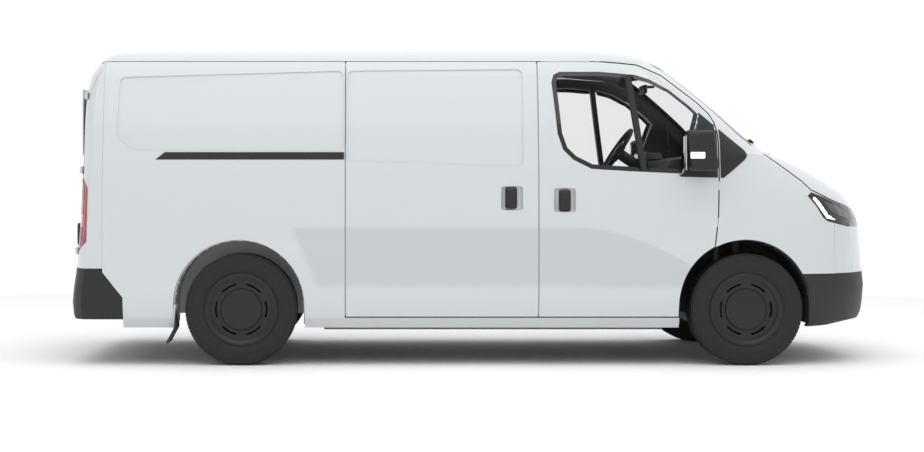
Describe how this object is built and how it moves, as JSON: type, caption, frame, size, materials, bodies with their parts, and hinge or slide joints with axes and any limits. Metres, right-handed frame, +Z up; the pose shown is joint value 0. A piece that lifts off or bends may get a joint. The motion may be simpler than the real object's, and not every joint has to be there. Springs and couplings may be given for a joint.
{
  "type": "electric panel van",
  "caption": "Mid-size electric panel van with cab, load space, side door, two rear doors, bonnet and steered front wheels.",
  "frame": {"origin": "on the ground under the middle of the van's overall box", "axes": "+X forward along the van, +Y to the driver's side (left), +Z up"},
  "size_m": [5.07, 2.3094, 1.99],
  "materials": {
    "body_paint": "gloss white paint",
    "inner_paint": "matt grey primer",
    "black_plastic": "grained black plastic",
    "bumper_plastic": "grained dark grey plastic",
    "cab_plastic": "soft dark plastic",
    "lamp_clear": "clear lens over dark housing",
    "lamp_red": "red lens",
    "window_glass": "clear glass",
    "chassis_steel": "black dip coat",
    "suspension_steel": "cast and coated",
    "battery_case": "dull",
    "seat_fabric": "woven",
    "wheel_black": "satin black",
    "tyre_rubber": "matt"
  },
  "bodies": {
    "root": {"side_panel_right": "body_paint", "side_panel_left": "body_paint", "sliding_door": "body_paint", "slide_rail": "black_plastic", "rear_portal": "body_paint", "roof_panel": "body_paint", "cab_frame": "body_paint", "windscreen": "window_glass", "fenders": "body_paint", "front_panel": "body_paint", "front_bumper": "bumper_plastic", "rear_bumper": "black_plastic", "headlights": "lamp_clear", "tail_lights": "lamp_red", "wheel_arch_liners": "black_plastic", "wipers": "black_plastic", "floor": "inner_paint", "underframe": "chassis_steel", "battery_pack": "battery_case", "drive_unit": "suspension_steel", "bulkhead": "inner_paint", "dashboard": "cab_plastic", "seats": "seat_fabric", "front_suspension": "suspension_steel", "rear_suspension": "suspension_steel"},
    "bonnet": {"bonnet": "body_paint"},
    "front_door_right": {"front_door_right": "body_paint", "front_door_glass_right": "window_glass", "mirror_right": "black_plastic"},
    "front_door_left": {"front_door_left": "body_paint", "front_door_glass_left": "window_glass", "mirror_left": "black_plastic"},
    "rear_door_right": {"rear_door_right": "body_paint"},
    "rear_door_left": {"rear_door_left": "body_paint"},
    "knuckle_right": {"knuckle_right": "suspension_steel"},
    "knuckle_left": {"knuckle_left": "suspension_steel"},
    "steering_wheel": {"steering_wheel": "cab_plastic"},
    "wheel_front_right": {"rim_front_right": "wheel_black", "tyre_front_right": "tyre_rubber"},
    "wheel_front_left": {"rim_front_left": "wheel_black", "tyre_front_left": "tyre_rubber"},
    "wheel_rear_right": {"rim_rear_right": "wheel_black", "tyre_rear_right": "tyre_rubber"},
    "wheel_rear_left": {"rim_rear_left": "wheel_black", "tyre_rear_left": "tyre_rubber"}
  },
  "joints": [
    {"name": "bonnet_hinge", "type": "hinge", "parent": "root", "child": "bonnet", "pos_m": [1.748, 0, 1.342], "axis": [0, -1, 0], "range_deg": [0, 55]},
    {"name": "front_door_right_hinge", "type": "hinge", "parent": "root", "child": "front_door_right", "pos_m": [1.478, -0.996, 1], "axis": [0, 0, 1], "range_deg": [0, 70]},
    {"name": "front_door_left_hinge", "type": "hinge", "parent": "root", "child": "front_door_left", "pos_m": [1.478, 0.996, 1], "axis": [0, 0, -1], "range_deg": [0, 70]},
    {"name": "rear_door_right_hinge", "type": "hinge", "parent": "root", "child": "rear_door_right", "pos_m": [-2.53, -0.862, 1.2], "axis": [0, 0, 1], "range_deg": [0, 180]},
    {"name": "rear_door_left_hinge", "type": "hinge", "parent": "root", "child": "rear_door_left", "pos_m": [-2.53, 0.862, 1.2], "axis": [0, 0, -1], "range_deg": [0, 180]},
    {"name": "steer_right", "type": "hinge", "parent": "root", "child": "knuckle_right", "pos_m": [1.65, -0.79, 0.343], "axis": [0, 0, 1], "range_deg": [-35, 35]},
    {"name": "steer_left", "type": "hinge", "parent": "root", "child": "knuckle_left", "pos_m": [1.65, 0.79, 0.343], "axis": [0, 0, 1], "range_deg": [-35, 35]},
    {"name": "steering_wheel_turn", "type": "hinge", "parent": "root", "child": "steering_wheel", "pos_m": [1.044, 0.41, 1.342], "axis": [-0.829, 0, 0.5592], "range_deg": [-525, 525]},
    {"name": "wheel_front_right_spin", "type": "hinge", "parent": "knuckle_right", "child": "wheel_front_right", "pos_m": [1.65, -0.85, 0.343], "axis": [0, 1, 0], "continuous": true},
    {"name": "wheel_front_left_spin", "type": "hinge", "parent": "knuckle_left", "child": "wheel_front_left", "pos_m": [1.65, 0.85, 0.343], "axis": [0, 1, 0], "continuous": true},
    {"name": "wheel_rear_right_spin", "type": "hinge", "parent": "root", "child": "wheel_rear_right", "pos_m": [-1.45, -0.85, 0.343], "axis": [0, 1, 0], "continuous": true},
    {"name": "wheel_rear_left_spin", "type": "hinge", "parent": "root", "child": "wheel_rear_left", "pos_m": [-1.45, 0.85, 0.343], "axis": [0, 1, 0], "continuous": true}
  ],
  "couplings": [
    {"joint": "steer_left", "follows": "steer_right", "ratio": 1},
    {"joint": "steering_wheel_turn", "follows": "steer_right", "ratio": 15}
  ]
}
